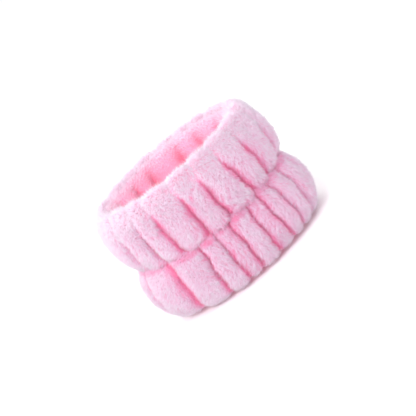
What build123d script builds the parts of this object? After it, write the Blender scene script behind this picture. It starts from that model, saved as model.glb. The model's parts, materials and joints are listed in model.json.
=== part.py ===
from build123d import *
import math
import os

# Plush spa wristband: a soft gathered ring that soaks up water running down the wrist.
# Origin: middle of the band, on the surface that it stands on. +Z is up through the wrist
# opening, +X is the long way of the flattened ring, and -Y is its front. Millimetres.
# Sections are drawn as (out, height), where out is measured from the rim line: the oval
# that runs along the crest of both rims, halfway through the roll of fabric.

# Overall sizes. The end radius is the rim line's, at the two narrow ends.
overall_width = 100.0
overall_depth = 68.0
band_height = 70.0
roll_thickness = 18.0
end_radius = 15.0

# Fabrics. The cover's thickness is its backing and its pile.
cover_thickness = 4.0
lining_thickness = 1.5
rest_land_depth = 0.3

# Gathered puffs
puff_count = 20
crease_radius = 3.0
crease_depth = 1.8

# Elastics, each a knitted loop with lapped ends and two bar tacks
elastic_width = 6.0
elastic_thickness = 1.0
elastic_gap = 0.3
elastic_lap = 12.0
rim_elastic_inset = 5.0
tack_thickness = 0.3
tack_width = 1.2
tack_spacing = 7.0
tack_margin = 0.6

# Waist, where the layers are drawn together over their elastic
waist_land = 3.0
waist_elastic_gap = 0.7
waist_offset = 0.6

# Loose fill in each row
wadding_gap = 0.6

# Sewing thread
thread = 0.4
stitch_length = 2.2
stitch_pitch = 3.6
stitch_gap = 0.05
waist_stitch_spread = 1.8
seam_allowance = 0.5
back_stitch_length = 1.6
back_seam_angle = 48.0
back_seam_stitches = 5

# Worked out from the sizes above
reach = roll_thickness / 2
rim_half_width = overall_width / 2 - reach
rim_half_depth = overall_depth / 2 - reach
end_centre = rim_half_width - end_radius
side_radius = (end_centre**2 + rim_half_depth**2 - end_radius**2) / (2 * (rim_half_depth - end_radius))
side_centre = side_radius - rim_half_depth
side_turn = 2 * math.degrees(math.atan2(end_centre, side_centre))
end_turn = 180 - side_turn
waist = band_height / 2
row_rise = band_height / 4
upper_row = waist + row_rise
lower_row = waist - row_rise
elastic_stack = 2 * elastic_thickness + tack_thickness
waist_cavity = elastic_stack + 2 * waist_elastic_gap - waist_offset
waist_elastic_out = waist_offset - waist_elastic_gap
rim_elastic_out = elastic_thickness / 2
cover_inner = (reach - cover_thickness, row_rise - cover_thickness, waist_offset)
lining_inner = (reach - lining_thickness, row_rise - lining_thickness, waist_cavity)
wadding_rise = row_rise - cover_thickness - wadding_gap
wadding_reach = (cover_inner[0] + lining_inner[0]) / 2 - wadding_gap
wadding_out = (cover_inner[0] - lining_inner[0]) / 2
clear_of_part = 2.0


def waist_rise(side_reach, waist_reach):
    """Half height of the ellipse that brings a wall in to the edge of the waist land."""
    return (row_rise - waist_land / 2) / math.sqrt(1 - (waist_reach / side_reach) ** 2)


def half_face(side_reach, rise, waist_reach):
    """Face from the rim line out to one wall of both rows."""
    drop = waist_rise(side_reach, waist_reach)
    turn = math.degrees(math.acos(waist_reach / side_reach))
    upper = (0, upper_row)
    lower = (0, lower_row)
    crown = EllipticalCenterArc(upper, side_reach, rise, 0, arc_size=90)
    shoulder = EllipticalCenterArc(upper, side_reach, drop, 0, arc_size=-turn)
    flank = EllipticalCenterArc(lower, side_reach, drop, 0, arc_size=turn)
    foot = EllipticalCenterArc(lower, side_reach, rise + rest_land_depth, 0, arc_size=-90)
    land = Line(shoulder @ 1, flank @ 1)
    rim_line = Line(crown @ 1, foot @ 1)
    return make_face([crown, shoulder, land, flank, foot, rim_line])


def block(inside, outside, low, high):
    """Rectangle between two distances from the rim line and two heights."""
    middle = ((inside + outside) / 2, (low + high) / 2)
    return Pos(*middle) * Rectangle(outside - inside, high - low)


def skin_face(thickness, inner):
    """One fabric's section, cut flat where the band rests."""
    outer = half_face(reach, row_rise, inner[2] + thickness)
    below = block(-clear_of_part, roll_thickness, -clear_of_part, 0)
    return outer - half_face(*inner) - below


def oval_legs():
    """The rim line's four arcs from the left of the front: centre, radius, start angle and turn."""
    half_side = side_turn / 2
    return [
        (Pos(0, side_centre, 0), side_radius, -90 - half_side, side_turn),
        (Pos(end_centre, 0, 0), end_radius, -90 + half_side, end_turn),
        (Pos(0, -side_centre, 0), side_radius, 90 - half_side, side_turn),
        (Pos(-end_centre, 0, 0), end_radius, 90 + half_side, end_turn),
    ]


def run(section, centre, radius, start, turn):
    """Section carried round one arc."""
    upright = Pos(radius, 0, 0) * (Plane.XZ * section)
    return centre * Rot(0, 0, start) * revolve(upright, Axis.Z, turn)


def ring(section):
    """Closed oval ring of one section."""
    pieces = [run(section, *leg) for leg in oval_legs()]
    return pieces[0] + pieces[1:]


def perimeter(out):
    return sum((radius + out) * math.radians(turn) for _, radius, _, turn in oval_legs())


def around(out, distance):
    """Place on the oval, a distance along it from the middle of the front, with X facing out."""
    distance += (side_radius + out) * math.radians(side_turn / 2)
    distance %= perimeter(out)
    for centre, radius, start, turn in oval_legs():
        length = (radius + out) * math.radians(turn)
        if distance <= length:
            break
        distance -= length
    angle = start + math.degrees(distance / (radius + out))
    return centre * Rot(0, 0, angle) * Pos(radius + out, 0, 0)


def at_back(out, aside=0.0):
    """Place at the middle of the back, or to one side of it."""
    return around(out, perimeter(out) / 2 + aside)


def places_around(out, count, shift=0.0):
    """Evenly spaced places on the oval, shifted by a share of their pitch."""
    pitch = perimeter(out) / count
    return [around(out, (number + shift) * pitch) for number in range(count)]


def plush_cover():
    """Outer fabric, with the creases between its puffs staggered from row to row."""
    cover = ring(skin_face(cover_thickness, cover_inner))
    outside = Pos(crease_radius - crease_depth, 0, 0)
    cutter = Cylinder(crease_radius, waist, align=(Align.CENTER, Align.CENTER, Align.MIN))
    creases = [place * outside * Pos(0, 0, waist) * cutter
               for place in places_around(reach, puff_count, 0.5)]
    creases += [place * outside * cutter for place in places_around(reach, puff_count)]
    return cover - creases


def lining():
    """Inner fabric, against the wrist: the cover's section turned inwards from the rim line."""
    outward = skin_face(lining_thickness, lining_inner)
    return ring(mirror(outward, about=Plane.YZ))


def wadding(row, side):
    """Fill of one row, slotted for its rim elastic; side is 1 for the upper row, -1 for the lower."""
    fill = Pos(wadding_out, row) * Ellipse(wadding_reach, wadding_rise)
    slot_inside = rim_elastic_out - elastic_stack - elastic_gap
    rim = waist + side * waist
    slot_floor = rim - side * (rim_elastic_inset + elastic_width + elastic_gap)
    low, high = sorted((slot_floor, rim))
    return ring(fill - block(slot_inside, rim_elastic_out + elastic_gap, low, high))


def elastic(outside, low):
    """Knitted loop with its ends lapped at the middle of the back."""
    inside = outside - elastic_thickness
    lapped = block(inside - elastic_thickness, inside, low, low + elastic_width)
    turn = math.degrees(elastic_lap / (side_radius + inside))
    lap = run(lapped, Pos(0, -side_centre, 0), side_radius, 90 - turn / 2, turn)
    return ring(block(inside, outside, low, low + elastic_width)) + lap


def tacks(outside, low):
    """Two bar tacks across the lap of one elastic."""
    out = outside - 2 * elastic_thickness - tack_thickness / 2
    bar = Pos(0, 0, low + elastic_width / 2) * Box(tack_thickness, tack_width, elastic_width - 2 * tack_margin)
    return [at_back(out, side * tack_spacing / 2) * bar for side in (-1, 1)]


def stitch_row(out, height):
    """Straight stitches all round the oval at one height."""
    count = round(perimeter(out) / stitch_pitch)
    stitch = Box(thread, stitch_length, thread)
    return [place * Pos(0, 0, height) * stitch for place in places_around(out, count)]


def rim_seam(side):
    """Stitches inside one rim, through the turned-in edges of the cover and the lining."""
    edge = waist + side * (waist - lining_thickness)
    return stitch_row(-thread / 2 - stitch_gap, edge - side * (thread / 2 + seam_allowance))


def waist_stitching():
    """Two rows that hold the waist elastic, seen on the lining side of the waist."""
    out = -(waist_cavity + lining_thickness + thread / 2 + stitch_gap)
    spread = waist_stitch_spread / 2
    return stitch_row(out, waist - spread) + stitch_row(out, waist + spread)


def back_seam(inner, facing):
    """Seam that closes one fabric into a ring; facing is 1 for the cover, -1 for the lining."""
    side_reach, rise, waist_reach = inner
    stitch = Box(thread, thread, back_stitch_length)
    sunk = Pos(-thread / 2 - stitch_gap, 0, 0)
    stitches = []
    for number in range(back_seam_stitches):
        share = 2 * number / (back_seam_stitches - 1) - 1
        angle = math.radians(share * back_seam_angle)
        height = rise if angle >= 0 else waist_rise(side_reach, waist_reach)
        out = side_reach * math.cos(angle)
        up = height * math.sin(angle)
        lean = math.degrees(math.atan2(-side_reach * math.sin(angle), height * math.cos(angle)))
        turned = Rot(0, 0, 0) if facing > 0 else Rot(0, 0, 180)
        for row, way in ((upper_row, 1), (lower_row, -1)):
            spot = Pos(0, 0, row) * turned * Pos(out, 0, way * up) * Rot(0, way * lean, 0)
            stitches.append(at_back(0) * spot * sunk * stitch)
    return stitches


def save(node, shape):
    if isinstance(shape, list):
        shape = Compound(shape)
    export_step(shape, f"parts/{node}.step")
    print(node, "solids", len(shape.solids()), "volume", round(shape.volume, 1))


os.makedirs("parts", exist_ok=True)
save("plush_cover", plush_cover())
save("lining", lining())
save("upper_wadding", wadding(upper_row, 1))
save("lower_wadding", wadding(lower_row, -1))
elastics = {
    "top": (rim_elastic_out, band_height - rim_elastic_inset - elastic_width),
    "waist": (waist_elastic_out, waist - elastic_width / 2),
    "bottom": (rim_elastic_out, rim_elastic_inset),
}
for place, (outside, low) in elastics.items():
    save(f"{place}_elastic", elastic(outside, low))
    save(f"{place}_elastic_tacks", tacks(outside, low))
save("top_rim_seam", rim_seam(1))
save("bottom_rim_seam", rim_seam(-1))
save("waist_stitching", waist_stitching())
save("cover_back_seam", back_seam(cover_inner, 1))
save("lining_back_seam", back_seam(lining_inner, -1))
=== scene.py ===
import json
import math
import bmesh
import bpy
import numpy as np
from mathutils import Matrix, Vector

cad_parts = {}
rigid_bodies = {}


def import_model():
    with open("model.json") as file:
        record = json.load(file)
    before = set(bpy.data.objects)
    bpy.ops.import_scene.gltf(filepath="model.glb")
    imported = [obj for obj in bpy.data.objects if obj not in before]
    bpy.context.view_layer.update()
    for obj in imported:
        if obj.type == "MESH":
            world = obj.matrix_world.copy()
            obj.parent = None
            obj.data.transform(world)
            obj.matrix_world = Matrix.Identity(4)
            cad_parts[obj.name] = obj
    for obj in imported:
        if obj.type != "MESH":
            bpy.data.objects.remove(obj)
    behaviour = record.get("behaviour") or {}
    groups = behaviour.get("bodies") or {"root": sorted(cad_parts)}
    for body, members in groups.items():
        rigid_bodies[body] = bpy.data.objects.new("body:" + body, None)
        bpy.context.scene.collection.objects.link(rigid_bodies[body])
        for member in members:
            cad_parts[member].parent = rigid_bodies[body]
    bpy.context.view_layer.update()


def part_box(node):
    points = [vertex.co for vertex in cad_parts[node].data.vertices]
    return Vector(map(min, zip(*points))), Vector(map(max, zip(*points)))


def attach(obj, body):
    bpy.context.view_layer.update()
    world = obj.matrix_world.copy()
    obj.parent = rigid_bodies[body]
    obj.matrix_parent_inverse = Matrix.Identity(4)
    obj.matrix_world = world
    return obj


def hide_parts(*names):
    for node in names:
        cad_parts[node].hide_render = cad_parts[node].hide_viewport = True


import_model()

mm = 0.001


def linearColour(hexCode):
    # sRGB hex to the linear values that the shader works in
    parts = [int(hexCode[i:i + 2], 16) / 255 for i in (1, 3, 5)]
    return [p / 12.92 if p <= 0.04045 else ((p + 0.055) / 1.055) ** 2.4 for p in parts] + [1.0]


def addNode(material, kind, settings=None, links=None):
    # one node: settings are sockets or properties, links are {socket: (node, output)}
    node = material.node_tree.nodes.new(kind)
    for key, value in (settings or {}).items():
        if hasattr(node, key) and not isinstance(key, int):
            setattr(node, key, value)
        else:
            node.inputs[key].default_value = value
    for key, (source, output) in (links or {}).items():
        material.node_tree.links.new(source.outputs[output], node.inputs[key])
    return node


def newMaterial(name):
    material = bpy.data.materials.new(name)
    material.use_nodes = True
    material.node_tree.nodes.clear()
    return material


def finishMaterial(material, settings, links):
    # closes a material with its shader; what is the same all over is set on the shader itself
    shader = addNode(material, "ShaderNodeBsdfPrincipled", settings, links)
    addNode(material, "ShaderNodeOutputMaterial", None, {"Surface": (shader, "BSDF")})
    return material


def colourSteps(node, steps):
    ramp = node.color_ramp
    while len(ramp.elements) < len(steps):
        ramp.elements.new(0.5)
    for element, (place, hexCode) in zip(ramp.elements, steps):
        element.position = place
        element.color = linearColour(hexCode)
    return node


def newPiece(name, mesh, material):
    # every piece rides on the one body and takes its finish from a named slot
    piece = bpy.data.objects.new(name, mesh)
    bpy.context.collection.objects.link(piece)
    mesh.materials.append(material)
    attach(piece, "root")
    return piece


def unit(vectors):
    return vectors / np.maximum(np.linalg.norm(vectors, axis=-1, keepdims=True), 1e-9)


def smoothLine(points, count):
    # a Catmull-Rom line through a few chosen points, evenly spaced along its length
    p = np.array(points, float)
    p = np.vstack([2 * p[0] - p[1], p, 2 * p[-1] - p[-2]])
    t = np.linspace(0, 1, 12, endpoint=False)[:, None]
    spans = [0.5 * (2 * b + (c - a) * t + (2 * a - 5 * b + 4 * c - d) * t**2
                    + (3 * b - a - 3 * c + d) * t**3) for a, b, c, d in zip(p, p[1:], p[2:], p[3:])]
    line = np.vstack(spans + [p[-2:-1]])
    run = np.concatenate([[0], np.cumsum(np.linalg.norm(np.diff(line, axis=0), axis=1))])
    even = np.linspace(0, run[-1], count)
    return np.stack([np.interp(even, run, line[:, k]) for k in range(2)], axis=1)


# the oval that the whole band follows; sections are (out, height) in mm, out from the rim line
band = {
    "rollThickness": 18.0,
    "endRadius": 15.0,
    "measuredAt": 6.0,      # distance out at which lengths along the oval are measured
    "endLift": 0.6,         # how far the bottom edge curls up at the two ends, mm
    "liftReach": 12.0,      # height over which that curl dies away, mm
    "settle": 1.3,          # how far the front rim has sunk and the back rim stands up, mm
}
coverLow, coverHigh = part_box("plush_cover")
bandHeight = (coverHigh[2] - coverLow[2]) / mm
rimHalfWidth = (coverHigh[0] - coverLow[0]) / 2 / mm - band["rollThickness"] / 2
rimHalfDepth = (coverHigh[1] - coverLow[1]) / 2 / mm - band["rollThickness"] / 2
endCentre = rimHalfWidth - band["endRadius"]
sideRadius = endCentre**2 + rimHalfDepth**2 - band["endRadius"]**2
sideRadius = sideRadius / (2 * (rimHalfDepth - band["endRadius"]))
sideCentre = sideRadius - rimHalfDepth
halfTurn = math.atan2(endCentre, sideCentre)
sideLength = 2 * halfTurn * (sideRadius + band["measuredAt"])
endLength = (math.pi - 2 * halfTurn) * (band["endRadius"] + band["measuredAt"])
ovalLength = 2 * (sideLength + endLength)


def ovalPlace(along, out):
    # along is measured from the middle of the front towards +X, out from the rim line, both in mm
    distance = (along + sideLength / 2) % ovalLength
    starts = [0, sideLength, sideLength + endLength, 2 * sideLength + endLength]
    centres = [(0, sideCentre), (endCentre, 0), (0, -sideCentre), (-endCentre, 0)]
    radii = [sideRadius, band["endRadius"], sideRadius, band["endRadius"]]
    quarter = math.pi / 2
    angles = [-quarter - halfTurn, -quarter + halfTurn, quarter - halfTurn, quarter + halfTurn]
    leg = np.searchsorted(starts, distance, side="right") - 1
    radius = np.array(radii)[leg]
    angle = np.array(angles)[leg] + (distance - np.array(starts)[leg]) / (radius + band["measuredAt"])
    outward = np.stack([np.cos(angle), np.sin(angle)], axis=-1)
    return np.array(centres)[leg] + (radius + out)[..., None] * outward


def settled(flat, height):
    # joins the plan and the height, with the soft band leaning a little lower in front
    rise = band["settle"] * flat[..., 1] / rimHalfDepth * height / bandHeight
    curl = band["endLift"] * (flat[..., 0] / rimHalfWidth) ** 4
    rise = rise + curl * np.exp(-((height / band["liftReach"]) ** 2))
    return np.concatenate([flat, (height + rise)[..., None]], axis=-1)


def wavy(along, height, size, seed):
    # gentle uneven movement, in the range -1 to 1, that closes round the oval
    turn = 2 * np.pi * along / ovalLength
    total = 0
    draw = np.random.default_rng(seed)
    for step in range(1, 7):
        lift = draw.uniform(-1, 1) * height / size
        strength = draw.uniform(0.5, 1)
        total = total + strength * np.sin(step * turn * draw.integers(1, 4) + draw.uniform(0, 6.3) + lift)
    return total / 4


def ringMesh(name, places, marks=None):
    # a grid bent into a closed ring; places is rows by columns by 3, in millimetres
    # marks are values kept at each vertex, rows by columns
    rows, columns = places.shape[:2]
    bm = bmesh.new()
    layers = {mark: bm.verts.layers.float.new(mark) for mark in marks or {}}
    bmesh.ops.create_grid(bm, x_segments=columns, y_segments=rows - 1, size=0.5)
    order = sorted(bm.verts, key=lambda v: (round(v.co.y, 6), round(v.co.x, 6)))
    wrap = lambda values: np.concatenate([values, values[:, :1]], axis=1).reshape(rows * (columns + 1), -1)
    for vert, place in zip(order, wrap(places) * mm):
        vert.co = place
    for mark, layer in layers.items():
        for vert, value in zip(order, wrap(marks[mark])[:, 0]):
            vert[layer] = value
    bmesh.ops.remove_doubles(bm, verts=bm.verts, dist=1e-7)
    for face in bm.faces:
        face.smooth = True
    mesh = bpy.data.meshes.new(name)
    bm.to_mesh(mesh)
    bm.free()
    return mesh


def turnOutwards(mesh, outwards=True):
    # every ring here goes round the same oval, so one face tells which way all of them point
    bm = bmesh.new()
    bm.from_mesh(mesh)
    bmesh.ops.recalc_face_normals(bm, faces=bm.faces)
    face = max(bm.faces, key=lambda f: abs(f.normal.y) if abs(f.calc_center_median().x) < 0.01 else 0)
    away = face.normal.y * face.calc_center_median().y > 0
    if away != outwards:
        bmesh.ops.reverse_faces(bm, faces=bm.faces)
    bm.to_mesh(mesh)
    bm.free()


swelling = {
    "enlarged": 10,         # the cloth solver works best on something about a metre wide
    "pressure": 4.0,
    "frames": 20,
}


def swell(mesh, loose, cap):
    # fills the fabric out with a cloth simulation: it is held where loose is 0 and free where it
    # is 1, and no point moves further than cap, in mm
    grown = mesh.copy()
    grown.transform(Matrix.Scale(swelling["enlarged"], 4))
    pad = bpy.data.objects.new("swelling", grown)
    bpy.context.collection.objects.link(pad)
    held = pad.vertex_groups.new(name="held")
    for index, value in enumerate(loose):
        held.add([index], float(1 - value), "REPLACE")
    cloth = pad.modifiers.new("cloth", "CLOTH")
    cloth.settings.vertex_group_mass = "held"
    cloth.settings.use_pressure = True
    cloth.settings.uniform_pressure_force = swelling["pressure"]
    cloth.settings.effector_weights.gravity = 0
    for number in range(1, swelling["frames"] + 1):
        bpy.context.scene.frame_set(number)
    result = pad.evaluated_get(bpy.context.evaluated_depsgraph_get()).data
    before, after = (np.zeros(len(mesh.vertices) * 3) for _ in range(2))
    mesh.vertices.foreach_get("co", before)
    result.vertices.foreach_get("co", after)
    moved = (after / swelling["enlarged"] - before).reshape(-1, 3)
    far = np.linalg.norm(moved, axis=1, keepdims=True)
    moved = moved * np.minimum(1, cap * mm / np.maximum(far, 1e-9))
    mesh.vertices.foreach_set("co", before + moved.reshape(-1))
    mesh.update()
    bpy.data.objects.remove(pad)
    bpy.data.meshes.remove(grown)
    bpy.context.scene.frame_set(1)
    print("swelled", mesh.name, "mm at most", round(float(far.max()) / mm, 2))


def markValues(mesh, mark):
    # reads back a value kept at each vertex
    values = np.zeros(len(mesh.vertices))
    mesh.attributes[mark].data.foreach_get("value", values)
    return values


# plush cover: the fabric under the pile, gathered into two rows of puffs
puffs = {
    # creases along the front in mm from its middle, and how far each leans from top to bottom
    "upperCreases": [(-57, 1), (-45, 1), (-33, 0.5), (-23, 1), (-7, 2), (6, 1.5), (21, 5),
                     (34, 4), (50, 2)],
    "lowerCreases": [(-56, -1), (-34, -1), (-15.5, -1), (-5.5, 0), (3, 0.5), (14.5, 1), (24, 2.5),
                     (33, 3), (43, 3), (55, 1)],
    "wobble": [(0.5, 5, 2), (0.35, 17, 5)],    # how creases wander down a row: mm, rate and stagger
    "frontFill": 1.6,       # how much the two rows close over the waist away from the ends, mm
    "endPinch": 2.0,        # how much the ends draw in at the waist, mm
    "endBulge": 0.8,        # extra fullness of the lower row at the two ends, mm
    "waistWander": 1.1,     # how far the gathered waist line strays up and down, mm
    "backSpacing": 12.5,    # between the creases round the back, mm
    "backJitter": 1.6,      # how uneven that spacing is, mm
    "backLean": 3.0,
    "fullness": (0.82, 1.1),    # the slackest and the fullest puff
    "roundness": 3.0,       # higher is flatter on top, with narrower creases
    "steepness": 0.85,
    "slack": 0.45,          # slow unevenness of the whole cover, mm
    "rimWander": 0.5,       # how far the rims stray up and down, mm
    "fadeFrom": 54.0,       # creases fade out above this height, and lower at the ends, mm
    "fadeOver": 11.0,
    "endFadeDrop": 8.0,
    "endSoftness": 0.55,    # share of a crease's painted shade, and of its hold on the swelling cloth, lost at the ends
    "waistPaintedShade": 0.66,      # how open and lit the pile stays at the waist line, where it is painted a deeper pink as shade, and over what height, mm
    "waistReach": 3.5,
    "columns": 340,
    "rowsEach": 34,
    # (out, height) of the fabric at a puff's crown and in a crease, down the upper row to the waist
    "upperCrown": [(-2.4, 64.2), (-1.6, 65.8), (0.1, 66.9), (2.3, 65.9), (4.2, 62.3), (5.9, 57.5),
                   (6.9, 51.5), (7.0, 45), (6.3, 39.6), (4.6, 36.2), (2.6, 34.8), (1.2, 34.4)],
    "upperCrease": [(-2.4, 64.2), (-1.7, 65.0), (0.0, 65.3), (2.1, 64.3), (3.9, 61.9), (4.7, 57),
                    (4.2, 51.5), (3.6, 46), (2.8, 41.5), (1.9, 38), (1.4, 36), (1.2, 34.4)],
    # and from the waist down the lower row
    "lowerCrown": [(1.2, 34.4), (2.6, 33.6), (4.6, 31.2), (6.2, 26.8), (7.0, 20), (6.7, 13.5),
                   (5.3, 8.4), (3.2, 4.9), (0.9, 3.4), (-0.8, 3.4), (-2.4, 4.8)],
    "lowerCrease": [(1.2, 34.4), (1.3, 32.6), (1.8, 30), (3.0, 26), (3.8, 19.5), (3.7, 12.5),
                    (2.9, 7.9), (1.7, 5.2), (0.3, 4.0), (-0.8, 3.8), (-2.4, 4.8)],
    "swellCap": 1.0,        # how far the simulation may move the cover, mm
    "heldAbove": 61.0,      # the rim is held still above this height, mm
}


def allCreases(front, seed):
    # the front's creases as chosen, then evenly uneven ones round the back
    draw = np.random.default_rng(seed)
    gap = ovalLength - front[-1][0] + front[0][0]
    count = round(gap / puffs["backSpacing"]) - 1
    spots = front[-1][0] + gap * (np.arange(count) + 1) / (count + 1)
    spots = spots + draw.uniform(-1, 1, count) * puffs["backJitter"]
    leans = [draw.uniform(-puffs["backLean"], puffs["backLean"]) for spot in spots]
    half = ovalLength / 2
    return np.array(sorted(((spot + half) % ovalLength - half, lean)
                           for spot, lean in list(front) + list(zip(spots, leans))))


def crownShare(along, down, creases, seed, roundness=puffs["roundness"], steepness=puffs["steepness"]):
    # 0 in a crease and 1 on a puff's crown; down is 0 at the top of the row and 1 at its bottom
    number = np.arange(len(creases))
    wobble = sum(size * np.sin(rate * down + stagger * number) for size, rate, stagger in puffs["wobble"])
    spots = creases[:, 0] + creases[:, 1] * (down - 0.5) + wobble
    edges = np.concatenate([[spots[-1] - ovalLength], spots, [spots[0] + ovalLength]])
    puff = np.clip(np.searchsorted(edges, along, side="right"), 1, len(edges) - 1)
    share = (along - edges[puff - 1]) / (edges[puff] - edges[puff - 1])
    full = np.random.default_rng(seed).uniform(*puffs["fullness"], len(edges) + 1)
    full[len(edges) - 1] = full[1]
    across = np.clip(1 - np.abs(2 * share - 1) ** roundness, 0, 1) ** steepness
    return across * full[puff]


def rowPlaces(row, along, creaseSeed, seed):
    # one row of puffs: out, height and crown share, each as rows by columns
    crown = smoothLine(puffs[row + "Crown"], puffs["rowsEach"])
    crease = smoothLine(puffs[row + "Crease"], puffs["rowsEach"])
    creases = allCreases(puffs[row + "Creases"], creaseSeed)
    outs, heights, shares = [], [], []
    for number, (top, low) in enumerate(zip(crown, crease)):
        share = crownShare(along, number / (puffs["rowsEach"] - 1), creases, seed)
        outs.append(low[0] + (top[0] - low[0]) * share)
        heights.append(low[1] + (top[1] - low[1]) * share)
        shares.append(share)
    return np.array(outs), np.array(heights), np.array(shares)


waistHeight = puffs["upperCrown"][-1][1]


def coverPlaces():
    # the whole cover from rim to rim, with the marks that the pile grows by and that paint shade into its
    # creases and waist
    along = (np.arange(puffs["columns"]) / puffs["columns"] - 0.5) * ovalLength
    upper = rowPlaces("upper", along, 3, 11)
    lower = rowPlaces("lower", along, 4, 12)
    out, height, share = [np.concatenate([a[:-1], b]) for a, b in zip(upper, lower)]
    spread = np.broadcast_to(along, out.shape)
    out = out + puffs["slack"] * wavy(spread, height, 30, 5)
    atEnd = np.abs(ovalPlace(spread, out * 0)[..., 0] / rimHalfWidth) ** 4
    end = np.clip(atEnd, 0, 1)
    out = out + puffs["endBulge"] * atEnd * np.where(height < waistHeight, share, 0.3 * share)
    nearWaist = np.exp(-((height - waistHeight) / 3.2) ** 2)
    out = out + puffs["frontFill"] * share * np.clip(1 - atEnd, 0, 1) * nearWaist
    aboutWaist = np.exp(-((height - waistHeight) / 7) ** 2)
    out = out - puffs["endPinch"] * share * end * aboutWaist
    height = height + puffs["rimWander"] * wavy(spread, height * 0, 30, 6) * np.clip(height / 35, 0, 1)
    aboutWaist = np.exp(-((height - waistHeight) / 7) ** 2)
    height = height + puffs["waistWander"] * wavy(spread * 3, 0, 30, 9) * aboutWaist
    # the waist line is painted as shade on the pile, and held a little when the cover swells
    waist = np.clip(np.abs(height - waistHeight) / puffs["waistReach"], puffs["waistPaintedShade"], 1)
    fadeFrom = puffs["fadeFrom"] - puffs["endFadeDrop"] * atEnd
    faded = np.clip((height - fadeFrom) / puffs["fadeOver"], 0, 1)
    soft = np.clip(np.maximum(faded, puffs["endSoftness"] * atEnd), 0, 1)
    marks = {"crown": share + (1 - share) * faded * end,
             "open": np.minimum(share + (1 - share) * soft, waist), "out": out, "along": spread}
    return settled(ovalPlace(spread, out), height), marks


places, marks = coverPlaces()
coverMesh = ringMesh("plush_cover_fabric", places, marks)
turnOutwards(coverMesh)
coverHeights = np.array([vertex.co.z / mm for vertex in coverMesh.vertices])
belowRim = np.clip((puffs["heldAbove"] - coverHeights) / 6, 0, 1)
swell(coverMesh, np.clip(markValues(coverMesh, "open") * 2 - 0.6, 0, 1) * belowRim, puffs["swellCap"])
print("cover fabric", len(coverMesh.vertices))


def twoTone(name, deepHex, paleHex, size, roughness, bump, sheen):
    # woven or felted fabric: soft mottling of two close colours, with a matching bump; size in mm
    material = newMaterial(name)
    where = addNode(material, "ShaderNodeTexCoord")
    grain = addNode(material, "ShaderNodeTexNoise",
                    {"Scale": 1000 / size, "Detail": 4.0, "Roughness": 0.6}, {"Vector": (where, "Object")})
    colour = colourSteps(addNode(material, "ShaderNodeValToRGB", None, {"Fac": (grain, "Fac")}),
                         [(0.3, deepHex), (0.7, paleHex)])
    relief = addNode(material, "ShaderNodeBump", {"Strength": bump, "Distance": size * mm * 0.5},
                     {"Height": (grain, "Fac")})
    return finishMaterial(material, {"Roughness": roughness, "Sheen Weight": sheen, "Sheen Roughness": 0.5},
                          {"Base Color": (colour, "Color"), "Normal": (relief, "Normal")})


# polyester knit that the pile is brushed out of: matt pink, seen only where the pile parts
backing = twoTone("fleeceBacking", "#F59BC0", "#F9B4D0", 1.2, 0.9, 0.4, 0.2)
cover = newPiece("plush_cover_fabric", coverMesh, backing)
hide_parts("plush_cover")


# pile: tufts of soft fibre standing on the cover
pile = {
    "fibres": 350000,
    "length": 3.0,          # mm, along the fibre
    "lengthSpread": 0.25,
    "rimLength": 1.0,       # share of the length at the fluffy top edge
    "rimFrom": 60.0,        # height where that edge begins, and over what height, mm
    "rimOver": 6.0,
    "creaseLength": 0.35,   # share of the length left in a crease
    "width": 0.29,          # mm; a real fibre is too fine to show, so each stands for a tuft
    "rootDepth": 0.35,      # how far roots sink into the fabric, mm
    "lean": 0.95,
    "wander": 0.28,
    "clump": 0.55,          # how far tips are drawn together, mm
    "clumpSizes": (0.8, 2.2),
    "strokes": 0.22,        # below 1, clumps are drawn out along the nap
    "sway": 3.0,            # how far the nap wanders sideways, mm
    "tone": 0.68,           # 0 is the deepest pink and 1 the palest
    # taller clumps are painted paler as highlight, lower ones deeper as shade
    "clumpLightAndShade": 0.26,
    "toneSpread": 0.14,
    "topPaintedLight": 0.34,    # how much paler the pile is painted up at the rim, as light from above
    "partsEach": 4,
}


def samplePoints(mesh, count, draw, wanted=("crown", "open", "out", "along")):
    # points spread evenly over a mesh, with the normal and the kept marks at each
    mesh.calc_loop_triangles()
    tris = np.zeros(len(mesh.loop_triangles) * 3, int)
    mesh.loop_triangles.foreach_get("vertices", tris)
    tris = tris.reshape(-1, 3)
    co = np.zeros(len(mesh.vertices) * 3)
    mesh.vertices.foreach_get("co", co)
    co = co.reshape(-1, 3) / mm
    normal = np.zeros(len(mesh.vertices) * 3)
    mesh.vertex_normals.foreach_get("vector", normal)
    normal = normal.reshape(-1, 3)
    area = np.linalg.norm(np.cross(co[tris[:, 1]] - co[tris[:, 0]], co[tris[:, 2]] - co[tris[:, 0]]), axis=1)
    spots = (np.arange(count) + draw.uniform(0, 1, count)) / count
    chosen = tris[np.searchsorted(np.cumsum(area) / area.sum(), spots).clip(0, len(tris) - 1)]
    weights = draw.dirichlet([1, 1, 1], count)
    mix = lambda values: np.einsum("ij,ij...->i...", weights, values[chosen])
    found = {"place": mix(co), "normal": unit(mix(normal))}
    for mark in wanted:
        found[mark] = markValues(mesh, mark)[chosen[np.arange(count), np.argmax(weights, axis=1)]]
    return found


def clumping(place, seed, sizes, stretch=1):
    # soft rolling field of the given sizes in mm: its level, around 0, and the way up it
    draw = np.random.default_rng(seed)
    level, slope = np.zeros(len(place)), np.zeros((len(place), 3))
    for size in np.linspace(*sizes, 18):
        wave = unit(draw.normal(0, 1, 3) * [1, 1, stretch])
        phase = place @ wave * 2 * np.pi / size + draw.uniform(0, 6.3)
        level += np.cos(phase)
        slope -= np.sin(phase)[:, None] * wave
    return level / 6, slope / 4


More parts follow.
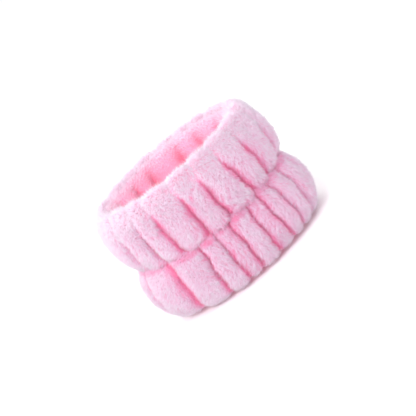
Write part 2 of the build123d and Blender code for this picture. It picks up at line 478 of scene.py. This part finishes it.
def napFlow(place):
    # how brushing has swept the pile: a sideways shift in mm and the direction that it gives the nap
    draw = np.random.default_rng(15)
    shift, lay = np.zeros((len(place), 3)), np.tile([0, 0, -1.0], (len(place), 1))
    for size in (17, 21, 26, 33, 42, 55):
        wave = unit(draw.normal(0, 1, 3) * [1, 1, 1.5]) * 2 * np.pi / size
        side = unit(np.append(draw.normal(0, 1, 2), 0)) * pile["sway"] * size / 30
        phase = place @ wave + draw.uniform(0, 6.3)
        shift += np.sin(phase)[:, None] * side
        lay += (np.cos(phase) * wave[2])[:, None] * side
    return shift, unit(lay)


def fibreShape():
    # one closed fibre: a slim three-sided spike standing from 0 to 1
    bm = bmesh.new()
    bmesh.ops.create_cone(bm, cap_ends=True, segments=3, radius1=1, radius2=0.001, depth=1,
                          matrix=Matrix.Translation((0, 0, 0.5)))
    bmesh.ops.remove_doubles(bm, verts=bm.verts, dist=0.01)
    bmesh.ops.recalc_face_normals(bm, faces=bm.faces)
    bm.verts.index_update()
    verts = np.array([v.co for v in bm.verts])
    faces = [[v.index for v in f.verts] for f in bm.faces]
    bm.free()
    return verts, faces


def fibreMesh(name, root, tip, width, tone):
    # stands a copy of the fibre's shape on every root; tone is one value from 0 to 1 for each fibre
    shape, faces = fibreShape()
    count, each = len(root), len(shape)
    lengthwise = unit(tip - root)
    upright = np.where(np.abs(lengthwise[:, 2:]) < 0.9, [[0, 0, 1.0]], [[1.0, 0, 0]])
    sideways = unit(np.cross(lengthwise, upright))
    across = np.cross(lengthwise, sideways)
    verts = np.zeros((count, each, 3))
    for number, (x, y, level) in enumerate(shape):
        girth = (width * 0.5)[:, None] * (x * sideways + y * across)
        verts[:, number] = root + (tip - root) * level + girth
    level, turn = shape[:, 2], np.arctan2(shape[:, 1], shape[:, 0])
    verts[..., 2] = np.maximum(verts[..., 2], 0.05 + 0.1 * level)    # nothing goes through the floor
    corners = np.array([corner for face in faces for corner in face])
    sizes = np.array([len(face) for face in faces])
    mesh = bpy.data.meshes.new(name)
    mesh.vertices.add(count * each)
    mesh.loops.add(count * len(corners))
    mesh.polygons.add(count * len(faces))
    mesh.vertices.foreach_set("co", (verts * mm).reshape(-1))
    loops = corners[None] + each * np.arange(count)[:, None]
    mesh.loops.foreach_set("vertex_index", loops.reshape(-1).astype(np.int32))
    first = np.concatenate([[0], np.cumsum(sizes)[:-1]])
    first = first[None] + len(corners) * np.arange(count)[:, None]
    mesh.polygons.foreach_set("loop_start", first.reshape(-1).astype(np.int32))
    mesh.update(calc_edges=True)
    mesh.polygons.foreach_set("use_smooth", np.ones(count * len(faces), bool))
    uv = mesh.uv_layers.new(name="OFBake")    # across is the fibre's tone, up is from root to tip
    spread = 0.012 * np.cos(turn[corners])[None] + tone[:, None] * 0.96 + 0.02
    height = np.broadcast_to(level[corners] * 0.96 + 0.02, spread.shape)
    uv.data.foreach_set("uv", np.stack([spread, height], axis=-1).reshape(-1))
    mesh.validate()
    return mesh


def growPile(points, draw):
    # root, tip, width and tone of every fibre
    count, place = len(points["place"]), points["place"]
    normal, crown = points["normal"], np.clip(points["crown"], 0, 1)
    rim = np.clip((place[:, 2] - pile["rimFrom"]) / pile["rimOver"], 0, 1)
    shift, lay = napFlow(place)
    nap = unit(lay - normal * np.sum(lay * normal, axis=1, keepdims=True))
    level, slope = clumping(place + shift, 6, pile["clumpSizes"], pile["strokes"])
    ahead = ovalPlace(points["along"], points["out"] + 1) - ovalPlace(points["along"], points["out"])
    ahead = np.concatenate([ahead, np.zeros((count, 1))], axis=1)    # straight out from the band
    lean = pile["lean"] * (1 + 0.4 * clumping(place, 7, (3, 9))[0]) * (1 - 0.75 * rim)
    aim = unit(unit(normal + ahead * 0.8 * (1 - crown)[:, None]) + nap * lean[:, None])
    aim = unit(aim + draw.normal(0, 1, (count, 3)) * pile["wander"] * (1 + 1.1 * rim)[:, None])
    fullness = pile["creaseLength"] + (1 - pile["creaseLength"]) * crown
    fullness = fullness + rim * (pile["rimLength"] - fullness)
    spread = draw.uniform(1 - pile["lengthSpread"], 1 + pile["lengthSpread"], count)
    length = pile["length"] * fullness * spread * (1 + (0.25 + 0.2 * rim) * level)
    root = place - normal * pile["rootDepth"]
    slope = slope - normal * np.sum(slope * normal, axis=1, keepdims=True)
    tip = root + aim * length[:, None] + slope * (pile["clump"] * (1 + rim))[:, None]
    # the pile is painted a deeper pink as shade in the creases and along the waist line
    lit = np.clip((np.maximum(points["open"], rim) - 0.4) / 0.5, 0, 1)
    # taller clumps painted paler as highlight and lower ones deeper as shade, with a random spread on top
    tone = pile["tone"] + pile["clumpLightAndShade"] * level + draw.normal(0, pile["toneSpread"], count)
    # the rim is painted paler as light falling from above
    tone = tone * (0.03 + 0.97 * lit) + pile["topPaintedLight"] * lit * np.clip((place[:, 2] - 50) / 15, 0, 1)
    width = pile["width"] * draw.uniform(0.75, 1.2, count)
    return root, tip, width, np.clip(tone, 0, 1)


def pileMaterial():
    # coral fleece: brushed polyester fibre, translucent; roots are painted a deeper pink as shade down in the
    # pile and tips paler as painted light;
    # the faint emission is a painted glow that stands in for light that scatters from fibre to fibre
    material = newMaterial("coralFleecePile")
    uv = addNode(material, "ShaderNodeUVMap", {"uv_map": "OFBake"})
    split = addNode(material, "ShaderNodeSeparateXYZ", None, {"Vector": (uv, "UV")})
    along = colourSteps(addNode(material, "ShaderNodeValToRGB", None, {"Fac": (split, "Y")}),
                        [(0.0, "#F2A6CB"), (0.35, "#F3D6E9"), (0.7, "#F3EEF8"), (1.0, "#F4F5FD")])
    tone = colourSteps(addNode(material, "ShaderNodeValToRGB", None, {"Fac": (split, "X")}),
                       [(0.0, "#FF6FA4"), (0.25, "#FFA9CE"), (0.5, "#FCE4F1"), (0.75, "#FEF6FB"),
                        (1.0, "#FFFFFF")])
    colour = addNode(material, "ShaderNodeMix", {"data_type": "RGBA", "blend_type": "MULTIPLY"})
    colour.inputs[0].default_value = 1.0
    links = material.node_tree.links
    links.new(along.outputs["Color"], colour.inputs[6])
    links.new(tone.outputs["Color"], colour.inputs[7])
    return finishMaterial(material, {"Roughness": 0.75, "Sheen Weight": 0.35, "Sheen Roughness": 0.4,
                                     "Specular IOR Level": 0.25, "Emission Color": linearColour("#FFB0D4"),
                                     "Emission Strength": 0.11}, {"Base Color": (colour, 2)})


draw = np.random.default_rng(21)
points = samplePoints(coverMesh, pile["fibres"], draw)
pileFinish = pileMaterial()
isUpper = points["place"][:, 2] > bandHeight / 2 - 1
for rowName, inRow in (("upper", isUpper), ("lower", ~isUpper)):
    order = np.flatnonzero(inRow)[np.argsort(points["along"][inRow])]
    for number, part in enumerate(np.array_split(order, pile["partsEach"])):
        chosen = {key: values[part] for key, values in points.items()}
        name = f"{rowName}_pile_{number + 1}"
        piece = newPiece(name, fibreMesh(name, *growPile(chosen, draw)), pileFinish)
        print(name, len(piece.data.polygons))


# lining: short-nap fleece with soft upright folds
lining = {
    "columns": 260,
    "rows": 60,
    "foldDepth": 2.0,       # mm
    # folds in mm from the middle of the back, and how far each leans; the rest are spaced like them
    "folds": [(-42, 0), (-25, 2), (-9, -2), (13, 3), (28, -2), (43, 0)],
    # (out, height) of the fabric from the top rim, past the waist, to the bottom rim
    "line": [(-1.0, 64.0), (-2.3, 65.3), (-3.6, 64.9), (-5.6, 62.0), (-7.0, 58), (-7.6, 52.5),
             (-7.2, 44.5), (-5.8, 38.5), (-4.65, 35.0), (-5.8, 31.5), (-7.2, 25.5), (-7.6, 17.5),
             (-7.0, 12), (-5.6, 7.4), (-3.6, 4.4), (-2.3, 4.0), (-1.0, 5.4)],
    "thickness": 1.2,       # mm
    "swellCap": 0.8,        # how far the simulation may move the lining, mm
    "fibres": 96000,
    "nap": 0.9,             # length inside the band, mm
    "rimNap": 2.6,          # and at the rims
    "napWidth": 0.27,
}


def liningPlaces():
    # the lining from rim to rim, with a mark for the shade painted in its folds and one for where it may
    # swell
    along = (np.arange(lining["columns"]) / lining["columns"] - 0.5) * ovalLength
    line = smoothLine(lining["line"], lining["rows"])
    out = np.repeat(line[:, :1], len(along), axis=1)
    height = np.repeat(line[:, 1:], len(along), axis=1)
    spread = np.broadcast_to(along, out.shape)
    folds = allCreases(lining["folds"], 6)
    share = np.array([crownShare(along, h / bandHeight, folds, 14, 1.7, 1.0) for h in height[:, 0]])
    share = share**2 * (3 - 2 * share)
    depth = np.clip((-out - 4.0) / 3.2, 0, 1)
    out = out + depth * lining["foldDepth"] * (0.75 - share) + 0.3 * wavy(spread, height, 30, 8)
    turned = ovalPlace(spread + ovalLength / 2, out)
    return settled(turned, height), {"foldShade": 1 - depth * (1 - share), "slack": depth * share}


linedPlaces, linedMarks = liningPlaces()
liningMesh = ringMesh("lining_fabric", linedPlaces, linedMarks)
turnOutwards(liningMesh, outwards=False)
swell(liningMesh, np.clip(markValues(liningMesh, "slack"), 0, 1), lining["swellCap"])
print("lining fabric", len(liningMesh.vertices))


def napMaterial():
    # short-nap fleece of the same dye, lightly brushed: painted deeper and warmer in its folds as shade
    material = newMaterial("shortNapFleece")
    foldShade = addNode(material, "ShaderNodeAttribute", {"attribute_name": "foldShade"})
    colour = colourSteps(addNode(material, "ShaderNodeValToRGB", None, {"Fac": (foldShade, "Fac")}),
                         [(0.0, "#EE7C98"), (0.4, "#F394AE"), (1.0, "#F8AECB")])
    where = addNode(material, "ShaderNodeTexCoord")
    grain = addNode(material, "ShaderNodeTexNoise", {"Scale": 700.0, "Detail": 3.0},
                    {"Vector": (where, "Object")})
    relief = addNode(material, "ShaderNodeBump", {"Strength": 0.3, "Distance": 0.5 * mm},
                     {"Height": (grain, "Fac")})
    # the faint pink emission is a painted glow that lifts the shade in the lining
    return finishMaterial(material, {"Roughness": 0.85, "Sheen Weight": 0.4, "Sheen Roughness": 0.5,
                                     "Emission Color": linearColour("#FF8FB0"), "Emission Strength": 0.1},
                          {"Base Color": (colour, "Color"), "Normal": (relief, "Normal")})


def growNap(points, draw):
    # short fibres over the lining, growing longer towards the rims
    count, normal = len(points["place"]), points["normal"]
    rimward = np.clip((np.abs(points["place"][:, 2] - bandHeight / 2) - 18) / 11, 0, 1)
    level, slope = clumping(points["place"], 8, (1.4, 4))
    aim = unit(normal + draw.normal(0, 0.3, (count, 3)) + [0, 0, 0.25])
    length = (lining["nap"] + (lining["rimNap"] - lining["nap"]) * rimward) * (1 + 0.2 * level)
    length = length * draw.uniform(0.8, 1.2, count)
    root = points["place"] - normal * 0.3
    tip = root + aim * length[:, None] + slope * 0.3 * rimward[:, None]
    tone = 0.25 + 0.7 * rimward ** 2 + 0.1 * level + draw.normal(0, 0.06, count)
    # the nap is painted deeper in the lining's folds as shade
    tone = tone * (0.4 + 0.6 * points["foldShade"])
    return root, tip, lining["napWidth"] * draw.uniform(0.8, 1.2, count), np.clip(tone, 0, 1)


def napFibreMaterial():
    # the brushed nap itself: salmon pink deep inside, paling to the cover's colour at the rims, with a faint
    # pink emission painted in as glow
    material = newMaterial("shortNapFibre")
    uv = addNode(material, "ShaderNodeUVMap", {"uv_map": "OFBake"})
    split = addNode(material, "ShaderNodeSeparateXYZ", None, {"Vector": (uv, "UV")})
    colour = colourSteps(addNode(material, "ShaderNodeValToRGB", None, {"Fac": (split, "X")}),
                         [(0.0, "#F29AB8"), (0.2, "#F7B6D0"), (0.5, "#FAD1E6"), (1.0, "#FBE8F6")])
    return finishMaterial(material, {"Roughness": 0.8, "Sheen Weight": 0.3, "Sheen Roughness": 0.4,
                                     "Specular IOR Level": 0.2, "Emission Color": linearColour("#FF8FB4"),
                                     "Emission Strength": 0.13}, {"Base Color": (colour, "Color")})


napPoints = samplePoints(liningMesh, lining["fibres"], draw, ("foldShade",))
napFinish = napFibreMaterial()
halfway = napPoints["place"][:, 2] > bandHeight / 2
for name, part in (("lining_nap_upper", halfway), ("lining_nap_lower", ~halfway)):
    chosen = {key: values[part] for key, values in napPoints.items()}
    piece = newPiece(name, fibreMesh(name, *growNap(chosen, draw)), napFinish)
    print(name, len(piece.data.polygons))

liningPiece = newPiece("lining_fabric", liningMesh, napMaterial())
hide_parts("lining")
wall = liningPiece.modifiers.new("fabricThickness", "SOLIDIFY")
wall.thickness = lining["thickness"] * mm
wall.offset = -1


# wadding: loose fibre that fills each row, following its puffs from inside
filling = {
    "columns": 170,
    "under": 1.4,       # below the cover's fabric, mm
    "short": 6.5,       # left free for the elastic at the rim, mm
    "waistShort": 2.5,  # left free at the waist, mm
    "innerOut": -1.5,   # where its inner side starts, and how far that side bulges in, mm
    "innerBulge": 3.6,
    "outerRows": 16,
    "innerRows": 12,
}


def fillingPlaces(row, creases, seed):
    # the outer side follows the puffs from inside, and the inner side is a smooth bulge
    along = (np.arange(filling["columns"]) / filling["columns"] - 0.5) * ovalLength
    crown = smoothLine(puffs[row + "Crown"], puffs["rowsEach"])
    crease = smoothLine(puffs[row + "Crease"], puffs["rowsEach"])
    fromWaist = np.abs(crown[:, 1] - bandHeight / 2)
    keep = np.flatnonzero((fromWaist < bandHeight / 2 - filling["short"])
                          & (fromWaist > filling["waistShort"]) & (crown[:, 0] > 2))
    keep = [keep[round(n)] for n in np.linspace(0, len(keep) - 1, filling["outerRows"])]
    rows = []
    for n in keep:
        share = crownShare(along, n / (puffs["rowsEach"] - 1), creases, seed)
        out = crease[n, 0] + (crown[n, 0] - crease[n, 0]) * share - filling["under"]
        rows.append((out, np.full_like(out, crown[n, 1])))
    first, last = rows[0][1][0], rows[-1][1][0]
    for part in np.linspace(-0.94, 0.94, filling["innerRows"]):
        height = (first + last) / 2 + part * (first - last) / 2
        out = filling["innerOut"] - filling["innerBulge"] * math.sqrt(1 - part**2)
        rows.append((np.full_like(along, out), np.full_like(along, height)))
    out = np.array([row[0] for row in rows])
    height = np.array([row[1] for row in rows])
    spread = np.broadcast_to(along, out.shape)
    out = out + 0.3 * wavy(spread * 3, height, 8, seed + 1)
    return settled(ovalPlace(spread, out), height)


def closedRing(name, places):
    # joins the last row back to the first, so the ring is a closed solid
    mesh = ringMesh(name, np.concatenate([places, places[:1]]))
    bm = bmesh.new()
    bm.from_mesh(mesh)
    bmesh.ops.remove_doubles(bm, verts=bm.verts, dist=1e-6)
    bmesh.ops.recalc_face_normals(bm, faces=bm.faces)
    bm.to_mesh(mesh)
    bm.free()
    return mesh


# carded polyester fibre: a soft white cloud with no shine
fibrefill = twoTone("polyesterWadding", "#E9E4E6", "#FBF8FA", 1.6, 0.95, 0.6, 0.3)
for rowName, seed in (("upper", 11), ("lower", 12)):
    creases = allCreases(puffs[rowName + "Creases"], seed - 8)
    mesh = closedRing(rowName + "_filling", fillingPlaces(rowName, creases, seed))
    piece = newPiece(rowName + "_filling", mesh, fibrefill)
    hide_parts(rowName + "_wadding")
    print(piece.name, len(mesh.polygons))


def ribbed(name, deepHex, paleHex, period, roughness):
    # yarn or knit: fine parallel ribs with a slightly uneven colour, painted deeper in each groove as shade;
    # period in mm
    material = newMaterial(name)
    where = addNode(material, "ShaderNodeTexCoord")
    ribs = addNode(material, "ShaderNodeTexWave",
                   {"bands_direction": "Z", "Scale": 314 / period, "Distortion": 1.5},
                   {"Vector": (where, "Object")})
    colour = colourSteps(addNode(material, "ShaderNodeValToRGB", None, {"Fac": (ribs, "Fac")}),
                         [(0.1, deepHex), (0.8, paleHex)])
    relief = addNode(material, "ShaderNodeBump", {"Strength": 0.5, "Distance": period * mm * 0.3},
                     {"Height": (ribs, "Fac")})
    settings = {"Roughness": roughness, "Sheen Weight": 0.2, "Specular IOR Level": 0.35}
    return finishMaterial(material, settings, {"Base Color": (colour, "Color"), "Normal": (relief, "Normal")})


# rim seams: the same stitches, carried with the turned-in edges of the soft rims
rimSeam = {
    "topPlace": (-1.9, 64.2),       # (out, height) of the stitches in each rim, mm
    "bottomPlace": (-1.9, 5.6),
}


def followRim(node, place):
    # a copy of the node's stitches at a new distance out and height round the same oval
    mesh = bpy.data.objects[node].data.copy()
    co = np.zeros(len(mesh.vertices) * 3)
    mesh.vertices.foreach_get("co", co)
    co = co.reshape(-1, 3) / mm
    middle = (co[:, 2].max() + co[:, 2].min()) / 2
    fromSide = np.stack([co[:, 0], co[:, 1] + np.sign(co[:, 1]) * sideCentre], axis=1)
    fromEnd = np.stack([co[:, 0] - np.sign(co[:, 0]) * endCentre, co[:, 1]], axis=1)
    onSide = np.arctan2(np.abs(fromSide[:, 0]), np.abs(fromSide[:, 1])) < halfTurn
    outward = unit(np.where(onSide[:, None], fromSide, fromEnd))
    flat = co[:, :2] + outward * place[0]
    mesh.vertices.foreach_set("co", (settled(flat, co[:, 2] - middle + place[1]) * mm).reshape(-1))
    mesh.update()
    return mesh


# spun polyester thread: dyed to match, with a slight gloss on its twist and a deeper pink painted into its
# grooves as shade
thread = ribbed("spunPolyesterThread", "#E68FB2", "#F4B3CC", 0.12, 0.5)
for side in ("top", "bottom"):
    stitches = followRim(side + "_rim_seam", rimSeam[side + "Place"])
    stitches.name = side + "_rim_stitches"
    stitches.materials.clear()
    piece = newPiece(side + "_rim_stitches", stitches, thread)
    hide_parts(side + "_rim_seam")
    print(piece.name, len(stitches.polygons))


# elastics, tacks and the other stitches keep their exact shapes and only take a finish
# knitted elastic: undyed white yarn over rubber, in ribs whose small grey shadows are painted into the
# grooves
knit = ribbed("knittedElastic", "#DAD5D3", "#F7F5F2", 0.8, 0.7)
for carried in bpy.data.objects:
    if carried.name.endswith(("elastic", "tacks", "seam", "stitching")):
        carried.data.materials.clear()
        carried.data.materials.append(knit if carried.name.endswith("elastic") else thread)
        print("finished", carried.name)


# floor, lights and camera
studio = {
    "floorSize": 8.0,       # half its side, metres
    "worldStrength": 1.02,
    "lampSize": 0.8,
    "lampsLookAt": (0, 0, 0.035),
    # name, place in metres, watts, colour
    "lamps": [("key", (-0.45, -0.8, 0.7), 10.0, "#FFFFFF"), ("fill", (0.8, -0.8, 0.5), 1.5, "#F4F2FF"),
              ("back", (-0.1, 0.8, 0.9), 2.5, "#FFFFFF")],
}
bm = bmesh.new()
bmesh.ops.create_grid(bm, x_segments=1, y_segments=1, size=studio["floorSize"])
floorMesh = bpy.data.meshes.new("floor")
bm.to_mesh(floorMesh)
bm.free()
floor = bpy.data.objects.new("floor", floorMesh)
floorMesh.materials.append(twoTone("paleFloor", "#FAFAFA", "#FFFFFF", 400, 0.9, 0.0, 0.0))
bpy.context.collection.objects.link(floor)

for name, place, watts, hexCode in studio["lamps"]:
    lamp = bpy.data.lights.new(name, "AREA")
    lamp.shape = "DISK"
    lamp.size = studio["lampSize"]
    lamp.energy = watts
    lamp.color = linearColour(hexCode)[:3]
    holder = bpy.data.objects.new(name, lamp)
    holder.location = place
    towards = Vector(studio["lampsLookAt"]) - Vector(place)
    holder.rotation_euler = towards.to_track_quat("-Z", "Y").to_euler()
    bpy.context.collection.objects.link(holder)

world = bpy.data.worlds.new("studio")
bpy.context.scene.world = world
world.use_nodes = True
background = world.node_tree.nodes["Background"]
background.inputs["Color"].default_value = linearColour("#FFFFFF")
background.inputs["Strength"].default_value = studio["worldStrength"]
bpy.context.scene.view_settings.view_transform = "Standard"

view = {
    "distance": 0.6,        # metres
    "elevation": 18.0,      # degrees, as are the next two
    "turn": 0.3,
    "roll": -40.3,
    "lens": 106.4,          # mm
    "aim": (0.0006, 0.0, 0.0349),
}
lens = bpy.data.cameras.new("camera")
lens.lens = view["lens"]
lens.sensor_width = 36
lens.clip_start = 0.01
camera = bpy.data.objects.new("camera", lens)
bpy.context.collection.objects.link(camera)
up, around = math.radians(view["elevation"]), math.radians(view["turn"])
back = Vector((-math.sin(around) * math.cos(up), -math.cos(around) * math.cos(up), math.sin(up)))
camera.location = Vector(view["aim"]) + back * view["distance"]
spin = Matrix.Rotation(math.radians(view["roll"]), 4, "Z")
camera.rotation_euler = (back.to_track_quat("Z", "Y").to_matrix().to_4x4() @ spin).to_euler()
bpy.context.scene.camera = camera

print("camera and lights in place")
